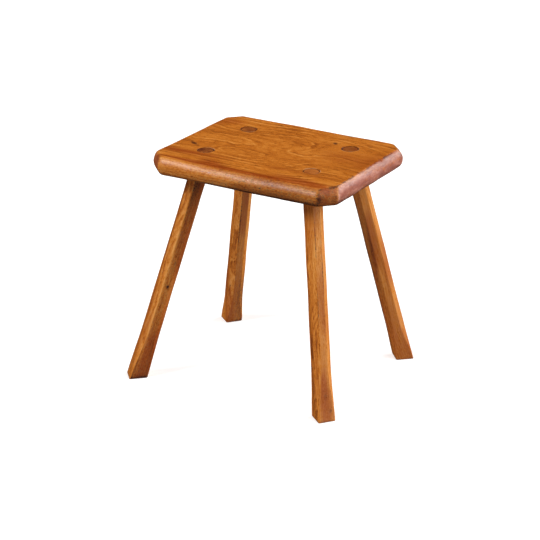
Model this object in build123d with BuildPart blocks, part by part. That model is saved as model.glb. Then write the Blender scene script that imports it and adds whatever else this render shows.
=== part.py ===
from build123d import *
from math import sqrt
import os

# A wooden milking stool: a thick oblong seat board with clipped corners and a rounded edge, on
# four splayed legs. Each leg ends in a round tenon that runs up through the seat, where a wedge
# spreads it. All sizes are in millimetres. +X runs along the seat's long side and +Z is up. The
# origin is on the floor, midway between the outermost feet.

# Seat board
seat_length = 360.0
seat_width = 278.0
seat_thickness = 33.0
seat_top = 400.0  # height above the floor
seat_bottom = seat_top - seat_thickness
seat_centre = (8.0, 8.5)  # the legs splay unevenly, so the seat isn't over the origin
corner_clip = 27.0  # each corner is sawn off this far along both sides

# The rounded edge is a quarter ellipse above the fullest line and another below it
side_round_inset = 16.0  # front and back, how far the upper round reaches onto the top
end_round_inset = 12.0  # left and right ends, and the clipped corners
under_round_inset = 9.0  # all round, how far the lower round reaches under the board
upper_round_depth = 17.0
under_round_depth = seat_thickness - upper_round_depth

# Legs: square at the foot, octagonal above, because the corners are shaved off
leg_top_width = 30.0  # across the flats, under the seat
leg_foot_width = 31.2
foot_arris = 1.5  # the square foot's corners are only eased
run_out_steps = 5  # loft sections over the height where the shaved corners run out
octagon_cut = 1 - 1 / sqrt(2)  # a regular octagon's corner cut over its width across flats
foot_bevel = 1.2  # the sawn foot's edges are eased too
overshoot = 15.0  # how far a blank runs past the plane that trims it

# Tenons and wedges
tenon_radius = 14.0
tenon_recess = 0.6  # the trimmed tenon ends sit this far below the seat's top
tenon_root = 20.0  # the tenon's cylinder starts this far down inside the leg
wedge_length = 26.0
wedge_tip = 0.8
wedge_head = 3.2

# Each leg by hand: "tenon" is where its axis meets the seat's top and "foot" where it meets the
# floor, both from the seat's centre, "side" is the way it leans, "turn" is how many degrees its
# faces are turned from the seat's diagonal, and "run_out" is the height over which its shaved
# corners fade into the square foot.
legs = {
    "front_left": {
        "tenon": (-104, -65), "foot": (-189, -163), "side": (-1, -1), "turn": -2, "run_out": 95,
    },
    "front_right": {
        "tenon": (102, -66), "foot": (173, -143), "side": (1, -1), "turn": 6, "run_out": 90,
    },
    "back_left": {
        "tenon": (-101, 69), "foot": (-178, 130), "side": (-1, 1), "turn": 6, "run_out": 60,
    },
    "back_right": {
        "tenon": (102, 66), "foot": (172, 146), "side": (1, 1), "turn": -3, "run_out": 75,
    },
}


def leg_ends(leg):
    """The two points that a leg's axis joins: on the floor, and at the seat's top."""
    foot = Vector(seat_centre[0] + leg["foot"][0], seat_centre[1] + leg["foot"][1], 0)
    top = Vector(seat_centre[0] + leg["tenon"][0], seat_centre[1] + leg["tenon"][1], seat_top)
    return foot, top


def leg_plane(leg):
    """The plane across a leg where its axis meets the floor: X is the normal of its outer face."""
    foot, top = leg_ends(leg)
    outward = Vector(*leg["side"], 0).rotate(Axis.Z, leg["turn"])
    return Plane(origin=foot, x_dir=outward, z_dir=top - foot)


def wedge_plane(leg):
    """The plane that shows a wedge end on: Y is the tenon's axis, and the wedge runs across it."""
    foot, top = leg_ends(leg)
    thickness = Vector(0, 1, 0).cross(top - foot)
    return Plane(origin=top, x_dir=thickness, z_dir=thickness.cross(top - foot))


def upright_plane(direction):
    """A plane that stands on the floor through the seat's centre, with X along the direction."""
    return Plane(origin=(*seat_centre, 0), x_dir=direction, z_dir=direction.cross(Vector(0, 0, 1)))


def board_section(plane, width, upper_inset):
    """The board's section across one pair of opposite edges, on a plane whose Y is upwards."""
    half = width / 2
    shoulder = half - upper_inset
    sole = half - under_round_inset
    waist = seat_bottom + under_round_depth
    with BuildSketch(plane) as section:
        with BuildLine():
            Line((-shoulder, seat_top), (shoulder, seat_top))
            EllipticalCenterArc((shoulder, waist), upper_inset, upper_round_depth, 0, arc_size=90)
            EllipticalCenterArc((-shoulder, waist), upper_inset, upper_round_depth, 90, arc_size=90)
            EllipticalCenterArc((sole, waist), under_round_inset, under_round_depth, 270, arc_size=90)
            EllipticalCenterArc((-sole, waist), under_round_inset, under_round_depth, 180, arc_size=90)
            Line((-sole, seat_bottom), (sole, seat_bottom))
        make_face()
    return section.sketch


def leg_section(plane, width, cut):
    """A square of the given width with its four corners cut off."""
    flat = width / 2
    edge = flat - cut
    corners = [(flat, edge), (edge, flat), (-edge, flat), (-flat, edge)]
    with BuildSketch(plane) as section:
        Polygon(*corners, *[(-x, -y) for x, y in corners], align=None)
    return section.sketch


def leg_width(height):
    return leg_foot_width + (leg_top_width - leg_foot_width) * height / seat_bottom


def shaved_section(across, height, run_out):
    """A leg's section at a height: nearly square at the floor, an octagon above the run-out."""
    width = leg_width(height)
    part = min(max(height / run_out, 0.0), 1.0)
    fade = part * part * (3 - 2 * part)
    cut = foot_arris + fade * (octagon_cut * width - foot_arris)
    return leg_section(across.offset(height), width, cut)


def wedge_profile(plane):
    """The wedge seen end on, with its head beyond the tenon's end so that it can be trimmed."""
    slope = (wedge_head - wedge_tip) / wedge_length
    head = wedge_head + slope * overshoot
    with BuildSketch(plane) as profile:
        with BuildLine():
            Polyline(
                (-wedge_tip / 2, -wedge_length),
                (wedge_tip / 2, -wedge_length),
                (head / 2, overshoot),
                (-head / 2, overshoot),
                close=True,
            )
        make_face()
    return profile.sketch


os.makedirs("parts", exist_ok=True)

# The board is what four bars with rounded edges have in common: one between the front and back
# edges, one between the ends, and one between each pair of opposite corners
clip_span = (seat_length + seat_width - 2 * corner_clip) / sqrt(2)
bars = [
    (Vector(1, 0, 0), seat_length, end_round_inset),
    (Vector(1, 1, 0), clip_span, end_round_inset),
    (Vector(1, -1, 0), clip_span, end_round_inset),
]
with BuildPart() as seat_board:
    extrude(
        board_section(upright_plane(Vector(0, 1, 0)), seat_width, side_round_inset),
        amount=seat_length,
        both=True,
    )
    for direction, span, inset in bars:
        extrude(
            board_section(upright_plane(direction), span, inset),
            amount=seat_length,
            both=True,
            mode=Mode.INTERSECT,
        )
    for leg in legs.values():
        with BuildSketch(leg_plane(leg)):
            Circle(tenon_radius)
        extrude(amount=2 * seat_top, mode=Mode.SUBTRACT)
seat_board.part.label = "seat_board"
export_step(seat_board.part, "parts/seat_board.step")

tenon_end = Plane.XY.offset(seat_top - tenon_recess)
for name, leg in legs.items():
    across = leg_plane(leg)
    foot, top = leg_ends(leg)
    length = (top - foot).length
    shoulder = length * seat_bottom / seat_top
    kerf = wedge_profile(wedge_plane(leg))

    with BuildPart() as leg_part:
        heights = [-overshoot]
        heights += [leg["run_out"] * step / run_out_steps for step in range(run_out_steps + 1)]
        heights += [shoulder + overshoot]
        loft([shaved_section(across, height, leg["run_out"]) for height in heights], ruled=True)
        split(bisect_by=Plane.XY.offset(seat_bottom), keep=Keep.BOTTOM)
        with BuildSketch(across.offset(shoulder - tenon_root)):
            Circle(tenon_radius)
        extrude(amount=length - shoulder + tenon_root + overshoot)
        split(bisect_by=tenon_end, keep=Keep.BOTTOM)
        extrude(kerf, amount=2 * tenon_radius, both=True, mode=Mode.SUBTRACT)
        split(bisect_by=Plane.XY, keep=Keep.TOP)
        chamfer(leg_part.faces().sort_by(Axis.Z)[0].edges(), foot_bevel)
    leg_part.part.label = f"leg_{name}"
    export_step(leg_part.part, f"parts/leg_{name}.step")

    with BuildPart() as wedge:
        extrude(kerf, amount=2 * tenon_radius, both=True)
        with BuildSketch(across):
            Circle(tenon_radius)
        extrude(amount=length + overshoot, mode=Mode.INTERSECT)
        split(bisect_by=tenon_end, keep=Keep.BOTTOM)
    wedge.part.label = f"wedge_{name}"
    export_step(wedge.part, f"parts/wedge_{name}.step")
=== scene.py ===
import math

import bpy
import numpy as np
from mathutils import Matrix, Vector


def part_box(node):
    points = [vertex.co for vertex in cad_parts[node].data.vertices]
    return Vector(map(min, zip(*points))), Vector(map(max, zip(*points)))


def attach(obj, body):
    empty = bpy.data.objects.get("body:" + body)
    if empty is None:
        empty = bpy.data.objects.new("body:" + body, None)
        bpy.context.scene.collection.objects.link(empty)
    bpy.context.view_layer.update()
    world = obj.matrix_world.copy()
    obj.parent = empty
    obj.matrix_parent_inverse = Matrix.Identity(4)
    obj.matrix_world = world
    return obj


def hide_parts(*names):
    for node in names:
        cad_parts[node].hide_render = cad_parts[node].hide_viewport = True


# A wooden milking stool on a pale floor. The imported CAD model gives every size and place, and
# each of its nodes is replaced by a piece of the same size, whose surface is worked as the wood
# is: planed, shaved, worn and varnished. Sizes are in millimetres until a mesh is made.

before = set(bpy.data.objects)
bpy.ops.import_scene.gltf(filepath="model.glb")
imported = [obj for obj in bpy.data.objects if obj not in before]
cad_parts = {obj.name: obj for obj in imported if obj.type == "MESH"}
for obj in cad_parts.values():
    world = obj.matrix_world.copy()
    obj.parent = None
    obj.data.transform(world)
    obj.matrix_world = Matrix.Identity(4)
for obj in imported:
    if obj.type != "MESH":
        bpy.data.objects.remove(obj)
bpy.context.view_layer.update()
MM = 0.001
crease_angle = 38  # edges sharper than this, in degrees, aren't smoothed
bump_unit = 0.4  # how high a bump of 1 in a material stands
floor_reach = 14000
floor_drop = 0.2  # the floor lies this far below the feet, so they share no plane

# Seat board
seat_low, seat_high = (np.array(corner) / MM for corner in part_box("seat_board"))
seat_centre = (seat_low + seat_high) / 2
half_length, half_width, _ = (seat_high - seat_low) / 2
seat_top = seat_high[2]
seat_bottom = seat_low[2]
corner_clip = 27.0  # each corner is sawn off this far along both sides
waist = seat_bottom + 16.0  # the board's fullest line
under_reach = 9.0  # how far the lower round reaches under the board
corner_steps = 10  # mesh steps on half of a sawn corner
long_steps = 152  # along the front and back edges
short_steps = 112  # along the two ends
patch_columns = long_steps + 2 * corner_steps  # the mesh's grid on the top and the underside
patch_rows = short_steps + 2 * corner_steps
upper_rings = 15  # from the fullest line up to the top
lower_rings = 11  # from the fullest line down to the underside
upper_crispness = 1.62  # 2 would be a quarter ellipse, and less leaves an arris
lower_crispness = 1.9
planing_depth = 0.16  # how far the planed surface rolls
planing_drop = 0.1  # how far it lies inside the CAD's, on average
edge_roughness = 1.2  # how much further the board's edges roll than its faces
chip_place = (171, 45)  # on the right end's upper arris, from the seat's centre
chip_size = (9, 12)
chip_depth = 1.4
ring_spacing = 5.0  # between growth rings, through the board's thickness
grain_wander = 2.2  # how far the fibres stray across the board

# The board's corners from above, counterclockwise from the left end of the front edge, and how
# far the upper round reaches onto the top at the start and end of each edge that follows them
outline = np.array(
    [
        (corner_clip - half_length, -half_width),
        (half_length - corner_clip, -half_width),
        (half_length, corner_clip - half_width),
        (half_length, half_width - corner_clip),
        (half_length - corner_clip, half_width),
        (corner_clip - half_length, half_width),
        (-half_length, half_width - corner_clip),
        (-half_length, corner_clip - half_width),
    ]
)
upper_reach = [(12, 18), (15, 11), (8, 12), (11, 12), (14, 13), (12, 11), (11, 8), (8, 11)]

# Legs
leg_top_width = 30.0  # across the flats, under the seat
leg_foot_width = 31.2
foot_arris = 1.5  # how much is off the square foot's corners
octagon_cut = 1 - 1 / math.sqrt(2)  # a regular octagon's corner cut over its width
foot_bevel = 1.2
arris_power = 70  # how crisp the arrises are between the flats
shave_depth = 0.14  # how far the shaved flats roll
shave_drop = 0.15  # how far they lie inside the CAD's, on average
leg_ring_step = 1.9  # between the mesh's rings
shoulder_lift = 0.35  # a leg's shoulder goes this far into the board, so no gap shows
tenon_radius = 14.0
tenon_recess = 0.6  # the trimmed tenons end this far below the seat's top
tenon_ease = 0.35  # how far a tenon's rim is rounded
tenon_dome = 0.15  # how far its end bulges
tenon_rim_reach = 9  # how far in from its rim the rim mask begins
mortise_gap = 0.12  # the mortise is this much wider than the tenon, all round
mortise_rim_reach = 6
leg_cap_shares = [0.85, 0.7, 0.5, 0.3, 0.12]  # sizes of the mesh's rings across a leg's ends
leg_ring_spacing = 3.4  # between growth rings
leg_ring_lean = 0.006  # growth rings that pass in a millimetre along a leg
heart_drift = 2.6  # how far the tree's centre wanders along a leg
leg_grain_shift = 37.0  # sets the legs' figures apart

# Wedges, and the kerf that each is driven into
wedge_length = 26.0
wedge_tip = 0.8
wedge_head = 3.2
wedge_gap = 0.05  # how far the wedge stays inside the CAD's
wedge_ease = 0.12  # how far the edges of its two ends are rounded
wedge_cap_shares = [0.7, 0.35]
wedge_grime = 0.25
wedge_ring_spacing = 2.1
wedge_ring_lean = 0.03
kerf_gap = 0.1  # the kerf is this much wider than the wedge, on each side

# "side" is the way a leg leans, "turn" is how many degrees its faces are turned from the seat's
# diagonal, "run_out" is the height over which its shaved corners fade into the square foot, and
# "heart" is the direction of the tree's centre across the leg and its distance from its axis.
# "tenon" is how dirty its end is, or how pale where that is below 0, and how red. The rims list
# gives the directions in which the mortise's edge has a painted highlight, and how pale it is.
# "faces" is how much painted light a face has, or painted shade where that is below 0, for how
# the lamps and the seat's shade fall on it, and how red the wood is there, with the faces counted
# round the leg from its outer one. "marks" are pale, or dark where the last number is below 0:
# the height, the face or the arris halfway between two, the length, the width and how pale.
# Marks 12 or more wide are painted light where pale and painted shade where dark.
legs = {
    "front_left": {
        "side": (-1, -1), "turn": -2, "run_out": 95, "heart": (200, 85), "seed": 11,
        "tenon": (0.45, 0.35), "rim_highlights": [(80, 0.6), (-40, 0.3)],
        "faces": {1: (0.45, 0.0), 2: (-0.4, 0.25), 3: (-0.25, 0.5)},
        "marks": [
            (174, 2.2, 6, 4, -0.75), (60, 2.2, 110, 30, 0.4), (200, 1.5, 330, 3.5, 0.9),
            (330, 3.0, 150, 30, 0.4), (370, 1.9, 130, 12, -0.3),
        ],
    },
    "front_right": {
        "side": (1, -1), "turn": 6, "run_out": 90, "heart": (75, 60), "seed": 23,
        "tenon": (-0.6, 0.35), "rim_highlights": [(135, 1.0), (0, 0.9)],
        "faces": {0: (0.45, 0.2), 1: (0.6, 0.0)},
        "marks": [
            (40, 0.0, 16, 7, -0.4), (15, 0.5, 9, 4, -0.8), (300, -0.4, 90, 2.5, -0.7),
            (190, -0.45, 110, 2.5, -0.6), (250, 0.45, 170, 2.5, -0.6), (285, -0.6, 70, 2.5, 0.9),
            (230, -0.9, 110, 2.5, 0.8), (90, -0.7, 100, 3.0, 0.8), (150, 0.1, 80, 2.5, -0.4),
        ],
    },
    "back_left": {
        "side": (-1, 1), "turn": 6, "run_out": 60, "heart": (310, 95), "seed": 37,
        "tenon": (0.25, 0.0), "rim_highlights": [(-60, 0.6)],
        "faces": {3: (0.45, 0.0), 4: (0.8, 0.4), 5: (0.3, 0.0)},
        "marks": [
            (90, 2.7, 13, 4, 0.9), (84, 2.8, 6, 3, -0.7), (230, 3.5, 200, 3.5, -0.7),
            (330, 5.0, 150, 30, 1.2), (60, 5.0, 150, 30, -0.5),
        ],
    },
    "back_right": {
        "side": (1, 1), "turn": -3, "run_out": 75, "heart": (160, 70), "seed": 41,
        "tenon": (0.15, 0.1), "rim_highlights": [(-80, 0.9), (20, 0.4)],
        "faces": {5: (0.15, 0.3), 6: (0.8, 0.4), 7: (1.1, 0.3)},
        "marks": [(240, 5.3, 120, 2.5, -0.5)],
    },
}


# Helpers for surfaces


def unit(vector):
    return vector / np.linalg.norm(vector)


def waves(points, wavelength, seed, count=14):
    """A smooth irregular field of about unit size: a sum of sine waves in all directions."""
    rng = np.random.default_rng(seed)
    total = np.zeros(len(points))
    for _ in range(count):
        direction = unit(rng.normal(size=points.shape[1]))
        pace = 2 * math.pi / (wavelength * rng.uniform(0.7, 1.6))
        total += np.sin(points @ direction * pace + rng.uniform(0, 2 * math.pi))
    return total * math.sqrt(2 / count)


def fade(values, low, high):
    """0 below low, 1 above high and smooth between, or the other way if low is over high."""
    part = np.clip((values - low) / (high - low), 0, 1)
    return part * part * (3 - 2 * part)


def spot(points, centre, length, width, angle=0.0):
    """1 at a centre, fading to 0 over an oval, in the first two coordinates."""
    turn = math.radians(angle)
    x, y = points[:, 0] - centre[0], points[:, 1] - centre[1]
    along = (x * math.cos(turn) + y * math.sin(turn)) / (length / 2)
    across = (y * math.cos(turn) - x * math.sin(turn)) / (width / 2)
    return np.exp(-(along**2) - across**2)


def spots(points, listed):
    """Spots added up: each has its strength, then its centre's x and y, then what spot takes."""
    total = np.zeros(len(points))
    for strength, x, y, *shape in listed:
        total += strength * spot(points, (x, y), *shape)
    return total


def bands(index):
    """Quads between the rows of an index, for rings that turn counterclockwise as they rise."""
    lower, upper = index[:-1], index[1:]
    lower_next, upper_next = np.roll(lower, -1, axis=1), np.roll(upper, -1, axis=1)
    return np.stack([lower, lower_next, upper_next, upper], axis=-1).reshape(-1, 4)


def make_piece(name, points, faces):
    """An object in the scene from points in millimetres."""
    mesh = bpy.data.meshes.new(name)
    mesh.from_pydata((np.asarray(points) * MM).tolist(), [], [list(map(int, f)) for f in faces])
    piece = bpy.data.objects.new(name, mesh)
    bpy.context.scene.collection.objects.link(piece)
    return piece


def mesh_points(mesh):
    """A mesh's vertices in millimetres, and their normals."""
    points = np.zeros(len(mesh.vertices) * 3)
    normals = np.zeros(len(mesh.vertices) * 3)
    mesh.vertices.foreach_get("co", points)
    mesh.vertex_normals.foreach_get("vector", normals)
    return points.reshape(-1, 3) / MM, normals.reshape(-1, 3)


def work_surface(piece, heights):
    """Moves each vertex along its normal by a height in millimetres."""
    points, normals = mesh_points(piece.data)
    moved = points + normals * heights(points, normals)[:, None]
    piece.data.vertices.foreach_set("co", (moved * MM).ravel())
    piece.data.update()


def carve(piece, cutter):
    """Cuts one mesh out of another."""
    modifier = piece.modifiers.new("carve", "BOOLEAN")
    modifier.operation = "DIFFERENCE"
    modifier.solver = "EXACT"
    modifier.object = cutter
    graph = bpy.context.evaluated_depsgraph_get()
    carved = bpy.data.meshes.new_from_object(piece.evaluated_get(graph))
    piece.modifiers.clear()
    piece.data = carved
    bpy.data.objects.remove(cutter)


def finish_surface(piece, material):
    """Smooth shading, apart from sharp edges, and the material."""
    for polygon in piece.data.polygons:
        polygon.use_smooth = True
    piece.data.set_sharp_from_angle(angle=math.radians(crease_angle))
    piece.data.materials.clear()
    piece.data.materials.append(material)


def set_number(mesh, name, values):
    attribute = mesh.attributes.new(name, "FLOAT", "POINT")
    attribute.data.foreach_set("value", np.asarray(values, np.float32))


def set_vector(mesh, name, values):
    attribute = mesh.attributes.new(name, "FLOAT_VECTOR", "POINT")
    attribute.data.foreach_set("vector", np.asarray(values, np.float32).ravel())


def set_wood(mesh, grain, rings, gradient, normals, **masks):
    """What the wood material reads: fibre coordinates in millimetres with X along the grain, the
    growth ring's number, how many rings pass in a millimetre of surface, and masks from 0 up:
    end grain, stain, grime with painted shade, wear with painted light and highlights, how near a
    mortise's or tenon's rim is, and how pale its painted highlight is there. A mask that isn't
    given is 0."""
    set_vector(mesh, "grain", grain)
    set_number(mesh, "rings", rings)
    steep = np.sum(gradient * normals, axis=1, keepdims=True)
    set_number(mesh, "pace", np.linalg.norm(gradient - steep * normals, axis=1))
    for name in ("end", "stain", "grime", "wear", "rim", "rubbed"):
        set_number(mesh, name, np.clip(masks.get(name, np.zeros(len(rings))), 0, 1.5))


# Materials


class Shader:
    """The nodes of a material or of the world, with a short call for each kind."""

    def __init__(self, owner):
        self.owner = owner
        owner.use_nodes = True
        self.tree = owner.node_tree
        self.tree.nodes.clear()

    def put(self, node, inputs):
        """Gives each of a node's inputs, by name or number, a value or a link."""
        for socket, value in inputs.items():
            if isinstance(value, bpy.types.NodeSocket):
                self.tree.links.new(value, node.inputs[socket])
            else:
                node.inputs[socket].default_value = value

    def node(self, kind, inputs=None):
        node = self.tree.nodes.new(kind)
        self.put(node, inputs or {})
        return node

    def attribute(self, name, output="Fac"):
        node = self.node("ShaderNodeAttribute")
        node.attribute_name = name
        return node.outputs[output]

    def math(self, operation, *values):
        node = self.node("ShaderNodeMath", dict(enumerate(values)))
        node.operation = operation
        return node.outputs[0]

    def total(self, *terms):
        """The sum of weight times value over pairs, and of plain values."""
        result = None
        for term in terms:
            value = self.math("MULTIPLY", *term) if isinstance(term, tuple) else term
            result = value if result is None else self.math("ADD", result, value)
        return result

    def noise(self, vector, sizes, detail=2.0, roughness=0.5, distortion=0.0):
        """Noise about 0 whose blobs have these sizes, in the vector's own units."""
        scaled = self.node("ShaderNodeVectorMath", {0: vector, 1: [1 / size for size in sizes]})
        scaled.operation = "MULTIPLY"
        inputs = {
            "Vector": scaled.outputs[0], "Scale": 1.0, "Detail": detail, "Roughness": roughness,
            "Distortion": distortion,
        }
        noise = self.node("ShaderNodeTexNoise", inputs)
        return self.math("SUBTRACT", noise.outputs["Fac"], 0.5)

    def ramp(self, value, places, colours):
        node = self.node("ShaderNodeValToRGB", {0: value})
        elements = node.color_ramp.elements
        for place in places[1:-1]:
            elements.new(place)
        for element, place, colour in zip(elements, places, colours):
            element.position = place
            element.color = colour
        return node.outputs[0]

    def rise(self, value, low, high):
        """0 below low, 1 above high and smooth between."""
        inputs = {"Value": value, "From Min": low, "From Max": high}
        node = self.node("ShaderNodeMapRange", inputs)
        node.interpolation_type = "SMOOTHSTEP"
        return node.outputs["Result"]

    def mix(self, share, first, second, blend="MIX"):
        """Two colours mixed. The node has a set of sockets for each type, with the same names."""
        factor, colour_a, colour_b, result = 0, 6, 7, 2
        node = self.node("ShaderNodeMix")
        node.data_type = "RGBA"
        node.blend_type = blend
        self.put(node, {factor: share, colour_a: first, colour_b: second})
        return node.outputs[result]

    def finish(self, colour, roughness, height=None, bump=0.0, coat=0.0, specular=0.5, glow=0.0):
        """The finished material, with its height in bump units."""
        inputs = {
            "Base Color": colour, "Roughness": roughness, "Specular IOR Level": specular,
            "Coat Weight": coat, "Coat Roughness": 0.24, "Emission Color": (1, 1, 1, 1),
            "Emission Strength": glow,
        }
        if height is not None:
            relief = {"Strength": bump, "Distance": bump_unit * MM, "Height": height}
            inputs["Normal"] = self.node("ShaderNodeBump", relief).outputs[0]
        shader = self.node("ShaderNodeBsdfPrincipled", inputs)
        self.node("ShaderNodeOutputMaterial", {0: shader.outputs[0]})
        return self.owner


def tone(red, green, blue):
    """A colour given as screen values from 0 to 255, as the shader wants it."""
    screen = np.array([red, green, blue]) / 255
    linear = np.where(screen > 0.04045, ((screen + 0.055) / 1.055) ** 2.4, screen / 12.92)
    return (*linear.tolist(), 1.0)


def wood(
    name, shades, red_shade, end_shades, end_tint,
    ring_line=0.22, ring_band=0.16, fine_rings=3, streak_size=(60, 8, 8), figure=1.0,
):
    """Old varnished wood. The shades run from the darkest fibres to the palest, and the end
    grain's likewise. Where the end grain is stained it takes the tint as well."""
    s = Shader(bpy.data.materials.new(name))
    grain = s.attribute("grain", "Vector")
    rings = s.attribute("rings")
    pace = s.attribute("pace")
    end = s.attribute("end")
    stain = s.attribute("stain")
    grime = s.attribute("grime")
    wear = s.attribute("wear")
    rim = s.rise(s.attribute("rim"), 0.72, 0.93)
    rubbed = s.attribute("rubbed")

    # Noise at every scale, from broad patches down to pores, stretched along the grain
    patches = s.noise(grain, (150, 45, 45), detail=1.5)
    streaks = s.noise(grain, streak_size, detail=2.5, roughness=0.55, distortion=0.35)
    mottle = s.noise(grain, (9, 3.4, 3.4), detail=3.0, roughness=0.65, distortion=0.8)
    fibres = s.noise(grain, (26, 0.9, 0.9), detail=2.0)
    specks = s.noise(grain, (3.0, 1.4, 1.4), detail=2.0)
    grit = s.math("MULTIPLY", s.noise(grain, (4.5, 3.2, 3.2), detail=3.0, roughness=0.7), grime)
    pores = s.rise(s.noise(grain, (6, 0.9, 0.9), detail=1.0), 0.13, 0.22)
    dots = s.rise(s.noise(grain, (1.3, 1.1, 1.1), detail=1.5), 0.08, 0.22)

    # A pale line at each growth ring, with a darker band that fades away on either side of it
    beside = s.math("SUBTRACT", s.math("FRACT", s.math("ADD", rings, 0.5)), 0.5)
    away = s.math("DIVIDE", beside, s.math("MAXIMUM", pace, 0.02))
    away = s.total(away, (mottle, 2.5), (streaks, 5.0))
    near = s.math("DIVIDE", away, 2.3)
    line = s.math("EXPONENT", s.math("MULTIPLY", s.math("MULTIPLY", near, near), -1.0))
    outside = s.math("MULTIPLY", s.rise(away, -1.0, -3.2), s.rise(away, -14.0, -4.0))
    inside = s.math("MULTIPLY", s.rise(away, 1.0, 3.0), s.rise(away, 12.0, 4.0))
    behind = s.total((outside, 0.9), (inside, 0.5))
    strength = s.rise(s.noise(grain, (80, 16, 16), detail=1.0), -0.16, 0.12)
    turns = s.total((rings, 2 * math.pi * fine_rings), (mottle, 3.0), (streaks, 5.0))
    fine_lines = s.math("SINE", turns)

    # How pale the long grain is, and then the end grain
    level = s.total(
        0.5,
        (patches, 0.45 * figure),
        (streaks, 0.42 * figure),
        (mottle, 0.80 * figure),
        (specks, 0.28),
        (grit, 5.0),
        (fibres, 0.30),
        (s.math("MULTIPLY", line, strength), ring_line),
        (s.math("MULTIPLY", behind, strength), -ring_band),
        (fine_lines, 0.05),
        (pores, -0.20),
        (wear, 0.36),
    )
    long_grain = s.ramp(level, (0.0, 0.3, 0.5, 0.7, 1.0), shades)
    end_level = s.total(
        0.5,
        (s.noise(grain, (60, 26, 12), detail=2.0, distortion=0.5), 0.9),
        (s.noise(grain, (30, 6, 3.0), detail=3.0, roughness=0.6), 0.40),
        (line, 0.03),
        (behind, -0.06),
        (dots, -0.10),
        (wear, 0.60),
    )
    cross_grain = s.ramp(end_level, (0.0, 0.5, 1.0), end_shades)
    golden = s.noise(grain, (60, 20, 9), detail=2.0, distortion=0.6)
    golden = s.rise(s.total(golden, (stain, 0.7)), 0.06, 0.26)
    cross_grain = s.mix(golden, cross_grain, end_tint, "MULTIPLY")

    # Over the wood's own colour come stain, dirt with painted shade, and the painted highlights on
    # the mortises' rims
    colour = s.mix(end, long_grain, cross_grain)
    blotchy = s.rise(s.total(stain, (mottle, 0.9), (streaks, 0.7)), 0.12, 0.95)
    colour = s.mix(blotchy, colour, red_shade, "MULTIPLY")
    outside_highlight = s.math("SUBTRACT", 1.0, rubbed)
    # The rims darken with dirt and with painted shade in the gap round each tenon, except under a
    # painted highlight
    gathered = s.math("MAXIMUM", grime, s.math("MULTIPLY", rim, outside_highlight))
    dirt_and_shade = s.rise(s.total(gathered, (mottle, 0.55), (specks, 0.6), (grit, 2.6)), 0.22, 0.95)
    colour = s.mix(dirt_and_shade, colour, tone(84, 62, 50), "MULTIPLY")
    # The painted highlight on a mortise's edge
    colour = s.mix(s.math("MULTIPLY", rim, rubbed), colour, tone(196, 152, 116))

    height = s.total(
        (fibres, 0.8), (pores, -0.9), (mottle, 0.9), (specks, 1.6), (grit, 6.0), (dots, -0.3)
    )
    roughness = s.total(
        0.35, (mottle, 0.35), (specks, 0.30), (pores, 0.12), (end, 0.08), (dirt_and_shade, 0.25)
    )
    return s.finish(colour, roughness, height, bump=0.35, coat=0.08, specular=0.30)


honey = [tone(112, 52, 12), tone(156, 82, 22), tone(190, 107, 31), tone(208, 128, 48),
         tone(226, 156, 80)]
red_brown = tone(204, 168, 162)
end_grain = [tone(104, 66, 58), tone(164, 98, 80), tone(222, 160, 136)]
end_orange = tone(255, 226, 160)
tenon_grain = [tone(96, 46, 14), tone(144, 76, 26), tone(192, 114, 46)]
plain = (1.0, 1.0, 1.0, 1.0)

materials = {
    "seat": wood("seat_wood", honey, red_brown, end_grain, end_orange),
    "legs": wood(
        "leg_wood", honey, red_brown, tenon_grain, plain,
        ring_line=0.14, ring_band=0.22, fine_rings=1, streak_size=(70, 4.5, 4.5), figure=1.45,
    ),
    "wedges": wood(
        "wedge_wood", honey, red_brown, tenon_grain, plain,
        ring_line=0.1, ring_band=0.1, fine_rings=1, streak_size=(70, 4.5, 4.5),
    ),
}


# Seat board


def turn_between(a, b):
    """The cross product of two flat vectors."""
    return a[0] * b[1] - a[1] * b[0]


def crossing(first, second):
    """Where two lines cross, each given by two points."""
    (a, b), (c, d) = first, second
    along, other = b - a, d - c
    return a + along * (turn_between(c - a, other) / turn_between(along, other))


def board_ring(reaches, share, softening):
    """The board's outline moved in by a share of each edge's reach, as evenly spaced points that
    start at the middle of the front left corner."""
    lines = []
    for a, b, (start, end) in zip(outline, np.roll(outline, -1, axis=0), reaches):
        outward = unit(np.array([b[1] - a[1], a[0] - b[0]]))
        lines.append((a - outward * share * start, b - outward * share * end))
    corners = [crossing(lines[i - 1], lines[i]) for i in range(len(lines))]
    steps = [long_steps, 2 * corner_steps, short_steps, 2 * corner_steps] * 2
    points = []
    for start, end, count in zip(corners, corners[1:] + corners[:1], steps):
        points += [start + (end - start) * step / count for step in range(count)]
    points = np.roll(points, corner_steps, axis=0)
    for _ in range(softening):
        points = (np.roll(points, 1, axis=0) + 2 * points + np.roll(points, -1, axis=0)) / 4
    return points


def patch_sides(ring):
    """A ring's front, right, back and left side, each from its left or from its front end."""
    closed = np.concatenate([ring, ring[:1]])
    corners = np.cumsum([0, patch_columns, patch_rows, patch_columns, patch_rows])
    front, right, back, left = (closed[a : b + 1] for a, b in zip(corners, corners[1:]))
    return front, right, back[::-1], left[::-1]


def filled_patch(ring):
    """A grid of points inside a ring, blended from its four sides: row by row from the front."""
    front, right, back, left = patch_sides(ring)
    u = np.linspace(0, 1, patch_columns + 1)[None, :, None]
    v = np.linspace(0, 1, patch_rows + 1)[:, None, None]
    sides = (1 - v) * front[None] + v * back[None] + (1 - u) * left[:, None] + u * right[:, None]
    front_line = (1 - u) * front[0] + u * front[-1]
    back_line = (1 - u) * back[0] + u * back[-1]
    return sides - ((1 - v) * front_line + v * back_line)


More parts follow.
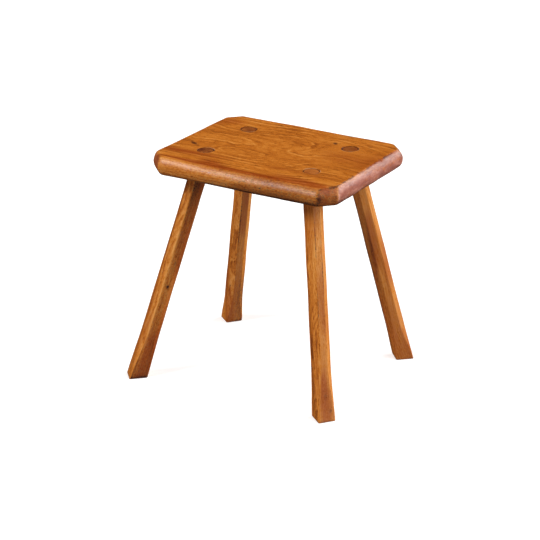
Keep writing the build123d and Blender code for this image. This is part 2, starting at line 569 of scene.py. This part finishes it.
def patch_faces(around, first_inside, flip):
    """Quads over a filled patch: its rim is a ring that exists already, its inside is new."""
    index = np.zeros((patch_rows + 1, patch_columns + 1), int)
    index[0], index[:, -1], index[-1], index[:, 0] = patch_sides(around)
    inside = np.arange((patch_rows - 1) * (patch_columns - 1)).reshape(patch_rows - 1, -1)
    index[1:-1, 1:-1] = first_inside + inside
    quads = np.stack([index[:-1, :-1], index[:-1, 1:], index[1:, 1:], index[1:, :-1]], axis=-1)
    quads = quads.reshape(-1, 4)
    return quads[:, ::-1] if flip else quads


def board_mesh():
    """The board before its mortises: rings round the edge, and a patch on each face."""
    rings = []
    for step in range(upper_rings):
        angle = step / (upper_rings - 1) * math.pi / 2
        share = 1 - math.sin(angle) ** (2 / upper_crispness)
        height = waist + (seat_top - waist) * math.cos(angle) ** (2 / upper_crispness)
        ring = board_ring(upper_reach, share, softening=3 + 2 * step // upper_rings)
        rings.append(np.column_stack([ring, np.full(len(ring), height)]))
    for step in range(1, lower_rings):
        angle = step / (lower_rings - 1) * math.pi / 2
        share = 1 - math.cos(angle) ** (2 / lower_crispness)
        height = waist - (waist - seat_bottom) * math.sin(angle) ** (2 / lower_crispness)
        ring = board_ring([(under_reach, under_reach)] * len(outline), share, softening=5)
        rings.append(np.column_stack([ring, np.full(len(ring), height)]))
    around = len(rings[0])
    index = np.arange(len(rings) * around).reshape(len(rings), around)
    downwards = [0, 3, 2, 1]  # the quads are turned round, since the first ring is the highest
    points, faces = list(rings), [bands(index)[:, downwards]]
    first = index.size
    for ring, height, flip in ((0, seat_top, False), (len(rings) - 1, seat_bottom, True)):
        inside = filled_patch(rings[ring][:, :2])[1:-1, 1:-1].reshape(-1, 2)
        faces.append(patch_faces(index[ring], first, flip))
        points.append(np.column_stack([inside, np.full(len(inside), height)]))
        first += len(inside)
    points = np.vstack(points)
    points[:, :2] += seat_centre[:2]
    return points, np.vstack(faces)


# The figure on the board's top: places from the seat's centre that each growth ring passes
# through. Ring 1 runs out into a long tongue, and ring 2 shows twice inside it.
ring_places = {
    2: [(-178, 26), (-145, 25), (-110, 23), (-75, 19), (-50, 11), (-46, 3), (-62, -3), (-95, -6),
        (-125, -9), (-178, -12),
        (-92, -41), (-84, -33), (-66, -28), (-39, -26), (-17, -32), (-4, -41), (-14, -51),
        (-38, -56), (-62, -56), (-84, -51)],
    1: [(-178, 62), (-140, 56), (-100, 52), (-72, 56), (-40, 66), (-8, 71), (20, 64), (38, 51),
        (43, 38), (33, 22), (17, 5), (25, -5), (40, -8), (54, -7), (71, 3), (96, 11), (128, 9),
        (150, 2), (178, 0),
        (-178, -70), (-120, -70), (-60, -71), (0, -72), (33, -68), (60, -61), (73, -45), (87, -32),
        (108, -26), (141, -27), (178, -29)],
    0: [(-178, 92), (-100, 90), (-60, 97), (0, 103), (60, 98), (110, 92), (160, 80),
        (-178, -83), (-80, -84), (0, -85), (60, -81), (96, -54), (120, -46), (178, -46)],
    -1: [(-178, 108), (-60, 110), (30, 112), (120, 106), (178, 98),
         (-178, -94), (-60, -95), (40, -94), (95, -80), (122, -62), (178, -58)],
    -2: [(-120, 119), (30, 121), (160, 114), (-178, -103), (-40, -104), (70, -103), (178, -80)],
    -4: [(-120, 133), (30, 135), (160, 132), (-178, -119), (-40, -121), (80, -119), (178, -106)],
    -6: [(-130, -136), (0, -137), (130, -135)],
}
# And the height of the field between the rings, where they would wander: x, y, ring number
ring_between = [
    (-120, 7, 2.6), (-85, 8, 2.5), (-165, 7, 2.6), (-55, -41, 2.5), (-25, -41, 2.3),
    (-78, -42, 2.35), (-60, -15, 1.75), (-20, -14, 1.65), (-110, -22, 1.7), (-165, -30, 1.7),
    (-118, -42, 1.6),
    (-60, 38, 1.5), (-120, 38, 1.5), (-10, 42, 1.35), (20, 42, 1.2), (5, 18, 1.4), (0, -45, 1.6),
    (30, -30, 1.5), (60, -28, 1.35), (100, -7, 1.35), (140, -10, 1.35), (60, -18, 1.4),
    (45, 8, 0.75), (60, 25, 0.6), (60, 50, 0.6), (100, 30, 0.55), (100, 60, 0.4), (150, 40, 0.45),
    (30, 78, 0.6), (20, 88, 0.4), (-178, 77, 0.5), (-60, 80, 0.55),
]


def bend(distance):
    """The kernel of a thin plate spline."""
    return distance**2 * np.log(np.maximum(distance, 1e-6))


def ring_field():
    """A smooth function of a place on the top, in mm, that takes each ring's number on it."""
    known = [(x, y, level) for level, places in ring_places.items() for x, y in places]
    known = np.array(known + ring_between, float)
    places, levels = known[:, :2] / 100, known[:, 2]
    count = len(places)
    gaps = np.linalg.norm(places[:, None] - places[None], axis=-1)
    flat = np.column_stack([np.ones(count), places])
    system = np.zeros((count + 3, count + 3))
    system[:count, :count] = bend(gaps) + 0.0005 * np.eye(count)
    system[:count, count:] = flat
    system[count:, :count] = flat.T
    weights = np.linalg.solve(system, np.append(levels, np.zeros(3)))

    def field(x, y):
        total = weights[count] + weights[count + 1] * x / 100 + weights[count + 2] * y / 100
        for (px, py), weight in zip(places, weights):
            total = total + weight * bend(np.hypot(x / 100 - px, y / 100 - py))
        return total

    return field


# Marks on the top, from the seat's centre: strength, x, y, length, width and angle
top_stains = [
    (0.8, -150, -88, 120, 26, -4), (0.5, -80, -84, 110, 18), (0.95, -95, -123, 220, 9),
    (0.95, 30, -126, 240, 9), (0.8, -62, -112, 60, 24), (0.7, 88, -113, 100, 22),
    (0.8, 140, -119, 60, 14), (0.6, 52, -81, 70, 14, 6), (0.5, 120, -84, 80, 18, 4),
    (0.5, 115, 22, 120, 90), (0.45, -140, 90, 60, 40), (0.35, 168, 10, 40, 220),
    (0.4, -170, 70, 50, 90),
]
top_knots = [
    (1.0, -142, -43, 13, 9, -20), (0.6, -130, -49, 14, 6, -10), (0.8, -150, -36, 5, 8, 60),
    (0.9, 67, 78, 13, 9, -50), (0.5, 169, 45, 8, 8), (0.5, 128, 89, 12, 10),
    (0.6, -61, 114, 14, 7, -30), (0.7, 73, 124, 26, 6), (0.5, -73, -107, 16, 8, -30),
    (0.4, -35, -76, 10, 7),
]
top_pale = [(0.34, -62, 9, 110, 40), (0.3, -100, 96, 60, 26), (0.16, -140, 0, 70, 60)]
# Marks on the front right corner: strength, x plus y, which runs along the corner, the height
# above the floor, length and width
clip_grime = [(0.4, 21, seat_bottom + 15, 12, 12), (0.25, 11, seat_bottom + 19, 8, 30)]
clip_pale = [(1.0, 22, seat_bottom + 12, 3.5, 3.5), (0.8, 46, seat_bottom + 14, 16, 12)]


def board_marks(points, normals):
    """How much end grain shows, and how stained, grimy and worn pale the board is, with painted
    light and shade among the grime and wear. Places are from the seat's centre, and heights from
    the floor."""
    height = points[:, 2]
    top = fade(normals[:, 2], 0.3, 0.8)
    front = fade(-normals[:, 1], 0.3, 0.7)
    right_end = fade(normals[:, 0], 0.2, 0.6)
    facing_front = fade(-normals[:, 1], 0.35, 0.6)
    right_clip = fade(normals[:, 0], 0.35, 0.6) * facing_front
    left_clip = fade(-normals[:, 0], 0.35, 0.6) * facing_front
    end_only = right_end * (1 - right_clip)
    along_clip = np.column_stack([points[:, 0] + points[:, 1], height])

    stain = top * spots(points, top_stains) + 0.6 * right_clip + 0.5 * left_clip
    behind = fade(points[:, 1], -50, 60) * fade(height, waist - 4, waist + 8)
    stain = stain + 0.5 * end_only * behind

    # Painted shade on the underside's edge and on the lower half of the front and the right end
    underside_shade = fade(height, seat_bottom + 7, seat_bottom - 1) * fade(normals[:, 2], -0.95, -0.5)
    lower_side_shade = np.maximum(0.7 * front, 1.3 * right_end) * fade(height, waist + 4, seat_bottom)
    grime = top * spots(points, top_knots) + right_clip * spots(along_clip, clip_grime)
    grime = grime + 0.45 * underside_shade + 0.28 * lower_side_shade * (1 - right_clip)
    grime = grime + end_only * (0.1 + 0.12 * fade(points[:, 1], -40, -100))
    # Dirt along the front, and painted shade that deepens towards its right end
    grime = grime + front * (0.2 + 0.26 * fade(points[:, 0], -140, 60))

    # A broken dark line along the upper arris, round the front right corner and the right end
    rightward = normals[:, 0] / (np.hypot(normals[:, 0], normals[:, 1]) + 1e-6)
    arris = fade(normals[:, 2], 0.62, 0.76) * fade(normals[:, 2], 0.999, 0.97)
    arris = arris * fade(rightward, 0.45, 0.65) * (points[:, 0] > 100)
    broken = np.clip(0.6 + 0.5 * waves(points, 26, seed=8), 0, 1)
    grime = grime + 0.5 * arris * broken

    wear = top * spots(points, top_pale)
    wear = wear + right_clip * spots(along_clip, clip_pale)
    wear = wear + 0.3 * right_clip * fade(height, waist, waist + 8)
    # Painted light at the left end of the front
    wear = wear + front * 0.2 * fade(points[:, 0], -60, -140)
    # A painted highlight along the front left corner's upper arris
    wear = wear + 0.5 * spot(points, (-164, -116), 12, 7, -40)
    # A painted highlight down the arris between the front right corner and the right end
    end_corner = spot(np.column_stack([points[:, 1], height]), (-112, seat_bottom + 17), 5, 17)
    wear = wear + end_corner * right_end
    front_arris = fade(normals[:, 2], 0.5, 0.9) * spot(points, (-20, -133), 330, 8)
    wear = wear + 0.2 * front_arris

    end = np.maximum(fade(np.abs(normals[:, 0]), 0.62, 0.93), 0.8 * left_clip)
    return end, stain, grime, wear


def mortise_marks(points, normals):
    """How near the top is to a mortise's rim, up to 1, and how pale that rim's painted highlight
    is.
    """
    on_top = fade(normals[:, 2], 0.5, 0.9)
    rim = np.zeros(len(points))
    rubbed = np.zeros(len(points))
    for name, leg in legs.items():
        centre, up = tenon_place(name)
        off = np.linalg.norm(np.cross(points - centre, up), axis=1) - tenon_radius
        around = np.arctan2(points[:, 1] - centre[1], points[:, 0] - centre[0])
        # The top darkens towards a mortise's rim: dirt, and painted shade in the gap
        rim = np.maximum(rim, on_top * fade(off, mortise_rim_reach, 0))
        # Painted highlights on the mortise's edge, where the light would catch it
        for direction, amount in leg["rim_highlights"]:
            facing = fade(np.cos(around - math.radians(direction)), 0.5, 0.9) * fade(off, 8, 6)
            rubbed = np.maximum(rubbed, amount * facing)
    return rim, rubbed


def planing(points, normals):
    """How far the plane, worn edges and one chip move the board's surface."""
    flat = points * (0.6, 1.0, 1.0)
    rolling = waves(flat, 62, seed=3) + 0.5 * waves(flat, 24, seed=4)
    edge = 1 - np.abs(normals[:, 2])
    place = points - (*seat_centre[:2], 0)
    chip = chip_depth * spot(place, chip_place, *chip_size) * fade(normals[:, 2], 0.2, 0.7)
    return planing_depth * rolling * (1 + edge_roughness * edge) - chip - planing_drop


def build_seat():
    points, faces = board_mesh()
    seat = make_piece("seat", points, faces)
    work_surface(seat, planing)
    for name in legs:
        carve(seat, mortise_cutter(name))
    finish_surface(seat, materials["seat"])

    points, normals = mesh_points(seat.data)
    place = points - (*seat_centre[:2], 0)
    x, y = place[:, 0], place[:, 1]
    field = ring_field()
    rings = field(x, y) - (seat_top - points[:, 2]) / ring_spacing
    step = 0.5
    slope_x = (field(x + step, y) - field(x - step, y)) / (2 * step)
    slope_y = (field(x, y + step) - field(x, y - step)) / (2 * step)
    gradient = np.column_stack([slope_x, slope_y, np.full(len(x), 1 / ring_spacing)])
    wander = grain_wander * waves(place[:, :2] * (0.5, 1), 70, seed=6)
    grain = np.column_stack([x, y + wander, points[:, 2]])
    end, stain, grime, wear = board_marks(place, normals)
    rim, rubbed = mortise_marks(points, normals)
    set_wood(
        seat.data, grain, rings, gradient, normals,
        end=end, stain=stain, grime=grime, wear=wear, rim=rim, rubbed=rubbed,
    )
    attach(seat, "root")
    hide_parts("seat_board")


# Legs


def leg_frame(name):
    """A leg's foot centre and its three axes: across its outer face, along that face, and up."""
    points, _ = mesh_points(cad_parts[f"leg_{name}"].data)
    ends = []
    for level in (points[:, 2].min(), points[:, 2].max()):
        rim = points[np.abs(points[:, 2] - level) < 0.02]
        ends.append((rim.min(axis=0) + rim.max(axis=0)) / 2)
    foot, top = ends
    up = unit(top - foot)
    turn = math.radians(legs[name]["turn"])
    side_x, side_y = legs[name]["side"]
    cos, sin = math.cos(turn), math.sin(turn)
    outward = np.array([side_x * cos - side_y * sin, side_x * sin + side_y * cos, 0.0])
    outward = unit(outward - up * (outward @ up))
    return foot, outward, np.cross(up, outward), up


def tenon_place(name):
    """A point on a tenon's axis at the seat's top, and the direction of that axis."""
    foot, _, _, up = leg_frame(name)
    return foot + up * (seat_top - foot[2]) / up[2], up


def mortise_cutter(name):
    """A cylinder along a tenon, a little wider than it, from below the seat to above it."""
    centre, up = tenon_place(name)
    below, above, around = 60, 20, 72
    side = unit(np.cross(up, (0, 1, 0)))
    other = np.cross(up, side)
    angles = np.arange(around) / around * 2 * math.pi
    radius = tenon_radius + mortise_gap
    circle = radius * (np.cos(angles)[:, None] * side + np.sin(angles)[:, None] * other)
    points = np.vstack([centre + circle - up * below, centre + circle + up * above])
    sides = [(i, (i + 1) % around, around + (i + 1) % around, around + i) for i in range(around)]
    caps = [list(range(around))[::-1], list(range(around, 2 * around))]
    return make_piece("mortise", points, sides + caps)


def kerf_axes(name):
    """The directions of a wedge: across its thickness, and along its width."""
    _, up = tenon_place(name)
    thickness = unit(np.cross((0, 1, 0), up))
    return thickness, np.cross(up, thickness)


def wedge_thickness(depth):
    return wedge_head - (wedge_head - wedge_tip) / wedge_length * depth


def kerf_cutter(name):
    """The slot for a wedge, open at the tenon's end and on both its sides."""
    centre, up = tenon_place(name)
    thickness, width = kerf_axes(name)
    above, beyond = 6.0, 20
    corners = []
    for depth in (wedge_length, -above):
        half = wedge_thickness(depth) / 2 + kerf_gap
        for run in (-beyond, beyond):
            for sign in (-1, 1):
                corners.append(centre - up * depth + width * run + thickness * half * sign)
    faces = [(0, 1, 3, 2), (4, 6, 7, 5), (0, 4, 5, 1), (2, 3, 7, 6), (0, 2, 6, 4), (1, 5, 7, 3)]
    return make_piece("kerf", corners, faces)


def leg_width(height):
    """The width across the flats, at a height along the leg."""
    return leg_foot_width + (leg_top_width - leg_foot_width) * height / seat_bottom


def shaved_cut(name, height):
    """How much is off each corner at a height: nearly nothing at the floor, an octagon above."""
    part = min(max(height / legs[name]["run_out"], 0.0), 1.0)
    faded = part * part * (3 - 2 * part)
    return foot_arris + faded * (octagon_cut * leg_width(height) - foot_arris)


def leg_angles(cut, width):
    """Angles round a leg, closer together near its arrises."""
    arris = math.atan(1 - 2 * cut / width)
    spread = np.array([0.02, 0.07, 0.16, 0.32, 0.5, 0.68, 0.84, 0.93, 0.98])
    angles = []
    for quarter in range(4):
        turn = quarter * math.pi / 2
        angles.append(turn - arris + 2 * arris * spread)
        angles.append(turn + arris + (math.pi / 2 - 2 * arris) * spread)
    return np.concatenate(angles)


def leg_radii(name, angles, height):
    """How far the leg's surface is from its axis at each angle: eight flats with soft arrises."""
    width = leg_width(height)
    distances = [width / 2, (width - shaved_cut(name, height)) / math.sqrt(2)] * 4
    place = np.array([[height]])
    inverse = np.zeros(len(angles))
    for flat, distance in enumerate(distances):
        seed = legs[name]["seed"] * 8 + flat
        rolling = waves(place, 120, seed, 5) + 0.3 * waves(place, 45, seed + 90, 6)
        surface = distance + shave_depth * rolling[0] - shave_drop
        facing = np.cos(angles - flat * math.pi / 4)
        inverse += np.maximum(facing / surface, 0) ** arris_power
    return inverse ** (-1 / arris_power)


def leg_rings(name):
    """Rings of points from the foot to the tenon's rim, each at one height above the floor."""
    foot, across, along, up = leg_frame(name)
    shoulder = seat_bottom + shoulder_lift
    bevel = [foot_bevel * (1 - math.cos(math.radians(a))) for a in (0, 30, 60, 90)]
    body = np.arange(foot_bevel + leg_ring_step, shoulder, leg_ring_step)
    tenon_end = seat_top - tenon_recess
    tenon_profile = [  # height and radius, with the rim rounded by the last three
        (shoulder, tenon_radius),
        (seat_top - 8, tenon_radius),
        (tenon_end - tenon_ease, tenon_radius),
        (tenon_end - 0.1, tenon_radius - 0.1),
        (tenon_end, tenon_radius - tenon_ease),
    ]
    rings = []

    def ring_at(level, radii, angles):
        x, y = radii * np.cos(angles), radii * np.sin(angles)
        travel = (level - x * across[2] - y * along[2]) / up[2]
        return foot + x[:, None] * across + y[:, None] * along + travel[:, None] * up

    for level in [*bevel, *body, shoulder]:
        height = level / up[2]
        angles = leg_angles(shaved_cut(name, height), leg_width(height))
        radii = leg_radii(name, angles, height)
        if level < foot_bevel:
            radii = radii - (foot_bevel - math.sqrt(foot_bevel**2 - (foot_bevel - level) ** 2))
        rings.append(ring_at(level, radii, angles))
    for level, radius in tenon_profile:
        rings.append(ring_at(level, np.full(len(angles), radius), angles))
    return rings


def capped(rings, inner_shares, dome):
    """Closes a stack of rings: the first with a flat cap, the last with a slightly domed one."""
    around = len(rings[0])
    first_centre = rings[0].mean(axis=0)
    last_centre = rings[-1].mean(axis=0)
    stack = [first_centre + (rings[0] - first_centre) * share for share in inner_shares[::-1]]
    stack += rings
    for share in inner_shares:
        ring = last_centre + (rings[-1] - last_centre) * share
        ring[:, 2] += dome * (1 - share**2)
        stack.append(ring)
    tip = len(stack) * around
    points = np.vstack([*stack, [first_centre], [last_centre + (0, 0, dome)]])
    index = np.arange(tip).reshape(len(stack), around)
    faces = [list(quad) for quad in bands(index)]
    for i in range(around):
        j = (i + 1) % around
        faces.append([tip, index[0][j], index[0][i]])
        faces.append([index[-1][i], index[-1][j], tip + 1])
    return points, faces


def leg_marks(name, points, normals, local):
    """A leg's masks for set_wood. The local places are across it, along its face and up it."""
    _, across, along, up = leg_frame(name)
    length = local[:, 2]
    end = fade(np.abs(normals @ up), 0.6, 0.9)
    on_tenon = fade(points[:, 2], seat_bottom + 1, seat_bottom + 3)
    on_side = (1 - on_tenon) * (1 - end)
    from_axis = np.linalg.norm(local[:, :2], axis=1)
    # A dark ring at the edge of the tenon's end: dirt, and painted shade in the gap round it
    rim = np.clip(1 - (tenon_radius - from_axis) / tenon_rim_reach, 0, 1) * on_tenon

    # Painted shade on the leg's top, where the seat shades it
    under_seat_shade = fade(points[:, 2], seat_bottom - 26, seat_bottom + 1) * (1 - on_tenon)
    sole = fade(points[:, 2], 9, 0)
    low_down = fade(length, 170, 40)
    dirty, red = legs[name]["tenon"]
    grime = 0.12 * under_seat_shade + 0.3 * sole + 0.1 * low_down + max(dirty, 0) * on_tenon
    blotches = waves(local * (1, 1, 0.16), 24, legs[name]["seed"] + 4)
    stain = 0.35 * fade(blotches, -0.2, 1.4) + red * on_tenon + 0.25 * low_down
    wear = max(-dirty, 0) * on_tenon

    # Each listed face is painted lighter or darker for how the lamps and the seat's shade fall on
    # it, and tinted red
    facing_way = np.arctan2(normals @ along, normals @ across)
    for face, (paleness, redness) in legs[name]["faces"].items():
        facing = fade(np.cos(facing_way - face * math.pi / 4), 0.9, 0.97) * on_side
        wear = wear + max(paleness, 0) * facing
        grime = grime + max(-paleness, 0) * facing
        stain = stain + redness * facing

    # Marks 12 or more wide are painted light where pale and painted shade where dark
    around = np.arctan2(local[:, 1], local[:, 0])
    for height, face, mark_length, mark_width, paleness in legs[name]["marks"]:
        aside = np.angle(np.exp(1j * (around - face * math.pi / 4))) * leg_foot_width / 2
        place = np.column_stack([length, aside])
        mark = spot(place, (height, 0), mark_length, mark_width) * on_side
        wear = wear + max(paleness, 0) * mark
        grime = grime + (max(-paleness, 0) - 0.4 * max(paleness, 0)) * mark
    return {"end": end, "stain": stain, "grime": grime, "wear": wear, "rim": rim}


def build_leg(name):
    points, faces = capped(leg_rings(name), leg_cap_shares, tenon_dome)
    leg = make_piece(f"{name}_leg", points, faces)
    carve(leg, kerf_cutter(name))
    finish_surface(leg, materials["legs"])

    points, normals = mesh_points(leg.data)
    foot, across, along, up = leg_frame(name)
    local = (points - foot) @ np.column_stack([across, along, up])
    length = local[:, 2:]
    seed = legs[name]["seed"]
    direction, distance = legs[name]["heart"]
    turn = math.radians(direction)
    heart = distance * np.array([math.cos(turn), math.sin(turn)])
    drift = np.column_stack([waves(length, 260, seed + 1, 4), waves(length, 190, seed + 2, 4)])
    off = local[:, :2] + heart_drift * drift - heart
    radius = np.linalg.norm(off, axis=1)
    rings = radius / leg_ring_spacing + 0.15 * waves(local * (1, 1, 0.25), 16, seed + 3)
    rings = rings + local[:, 2] * leg_ring_lean
    outward = off / radius[:, None] / leg_ring_spacing
    gradient = outward[:, :1] * across + outward[:, 1:] * along + leg_ring_lean * up
    grain = np.column_stack([local[:, 2], local[:, 0], local[:, 1]]) + seed * leg_grain_shift
    masks = leg_marks(name, points, normals, local)
    set_wood(leg.data, grain, rings, gradient, normals, **masks)
    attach(leg, "root")
    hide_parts(f"leg_{name}")


# Wedges


def build_wedge(name):
    """A wedge that fills its tenon's kerf: flat sides, ends worn flush with the tenon."""
    centre, up = tenon_place(name)
    thickness, width = kerf_axes(name)
    top_depth = tenon_recess + wedge_gap
    between = np.linspace(top_depth + 0.4, wedge_length - 0.3, 14)
    depths = [top_depth, top_depth + 0.08, *between, wedge_length - wedge_gap]
    runs = np.linspace(-1, 1, 15)
    rings = []
    for number, depth in enumerate(depths[::-1]):
        half = wedge_thickness(depth) / 2
        if number in (0, len(depths) - 1):
            half -= wedge_ease
        reach = math.sqrt((tenon_radius - wedge_gap) ** 2 - half**2)
        ring = []
        for side in (1, -1):
            for run in runs * side:
                bulge = half * (1 - 0.25 * abs(run) ** 12)
                ring.append(centre + width * run * reach + thickness * side * bulge)
        ring = np.array(ring)
        level = centre[2] - depth
        rings.append(ring + up * ((level - ring[:, 2:]) / up[2]))
    points, faces = capped(rings, wedge_cap_shares, dome=0.0)
    wedge = make_piece(f"{name}_wedge", points, faces)
    finish_surface(wedge, materials["wedges"])

    points, normals = mesh_points(wedge.data)
    local = (points - centre) @ np.column_stack([up, width, thickness])
    rings = local[:, 2] / wedge_ring_spacing + local[:, 1] * wedge_ring_lean
    gradient = np.tile(thickness / wedge_ring_spacing + width * wedge_ring_lean, (len(points), 1))
    end = fade(np.abs(normals @ up), 0.6, 0.9)
    grime = np.full(len(points), wedge_grime)
    set_wood(wedge.data, local, rings, gradient, normals, end=end, grime=grime)
    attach(wedge, "root")
    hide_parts(f"wedge_{name}")


# Floor, lights and camera


def build_floor():
    """A pale floor with a faint glow of its own, which throws no light on the stool."""
    corners = [(-1, -1, 0), (1, -1, 0), (1, 1, 0), (-1, 1, 0)]
    floor = make_piece("floor", np.array(corners) * floor_reach, [(0, 1, 2, 3)])
    floor.location.z = -floor_drop * MM
    s = Shader(bpy.data.materials.new("pale_floor"))
    place = s.node("ShaderNodeTexCoord").outputs["Object"]
    shade = s.rise(s.noise(place, (0.4, 0.4, 0.4), detail=2.0), -0.5, 0.5)
    shades = [(0.78, 0.78, 0.775, 1), (0.8, 0.8, 0.795, 1), (0.82, 0.82, 0.815, 1)]
    colour = s.ramp(shade, (0.0, 0.5, 1.0), shades)
    floor.data.materials.append(s.finish(colour, 0.9, specular=0.1, glow=0.45))
    floor.visible_diffuse = False
    floor.visible_glossy = False


def light_world(seen, above, below):
    """What the camera sees beyond the floor, and the soft light from above and from below, where
    the floor would throw it back. Varnish mirrors only the lamps."""
    horizon_blend = 0.1  # how far above and below the horizon one fades into the other
    world = bpy.data.worlds.new("surroundings")
    bpy.context.scene.world = world
    s = Shader(world)
    path = s.node("ShaderNodeLightPath")
    direction = s.node("ShaderNodeTexCoord").outputs["Generated"]
    split = s.node("ShaderNodeSeparateXYZ", {0: direction})
    inputs = {
        "Value": split.outputs["Z"], "From Min": -horizon_blend, "From Max": horizon_blend,
        "To Min": below, "To Max": above,
    }
    given = s.node("ShaderNodeMapRange", inputs).outputs["Result"]
    soft = s.math("MULTIPLY", given, path.outputs["Is Diffuse Ray"])
    strength = s.math("MULTIPLY_ADD", path.outputs["Is Camera Ray"], seen, soft)
    background = s.node("ShaderNodeBackground", {"Color": (1, 1, 1, 1), "Strength": strength})
    s.node("ShaderNodeOutputWorld", {0: background.outputs[0]})


def add_sun(name, towards, power, spread):
    """A broad soft light from one direction, as even over the floor as a large softbox."""
    sun = bpy.data.lights.new(name, "SUN")
    sun.energy = power
    sun.angle = math.radians(spread)
    lamp = bpy.data.objects.new(name, sun)
    lamp.rotation_mode = "QUATERNION"
    lamp.rotation_quaternion = Vector(towards).to_track_quat("Z", "Y")
    bpy.context.scene.collection.objects.link(lamp)


def add_camera(azimuth, elevation, distance, aim, lens):
    """A camera at a distance from its aim, both in metres, with its lens in millimetres."""
    camera = bpy.data.objects.new("camera", bpy.data.cameras.new("camera"))
    turn, rise = math.radians(azimuth), math.radians(elevation)
    level = math.cos(rise)
    back = Vector((math.sin(turn) * level, -math.cos(turn) * level, math.sin(rise)))
    camera.location = Vector(aim) + back * distance
    camera.rotation_mode = "QUATERNION"
    camera.rotation_quaternion = back.to_track_quat("Z", "Y")
    camera.data.lens = lens
    bpy.context.scene.collection.objects.link(camera)
    bpy.context.scene.camera = camera


add_camera(
    azimuth=30.953, elevation=22.241, distance=3.394, aim=(-0.0007, -0.0047, 0.1832), lens=131.055
)
bpy.context.scene.view_settings.view_transform = "Standard"
light_world(seen=1.0, above=0.08, below=0.48)
add_sun("front_left", (-0.476, -0.621, 0.624), power=2.4, spread=22)
add_sun("back_right", (0.497, 0.794, 0.351), power=2.6, spread=36)
add_sun("upper_right", (0.75, -0.1, 0.65), power=1.3, spread=46)
add_sun("right", (0.9, 0.1, 0.25), power=0.8, spread=46)
build_floor()
build_seat()
for leg_name in legs:
    build_leg(leg_name)
    build_wedge(leg_name)
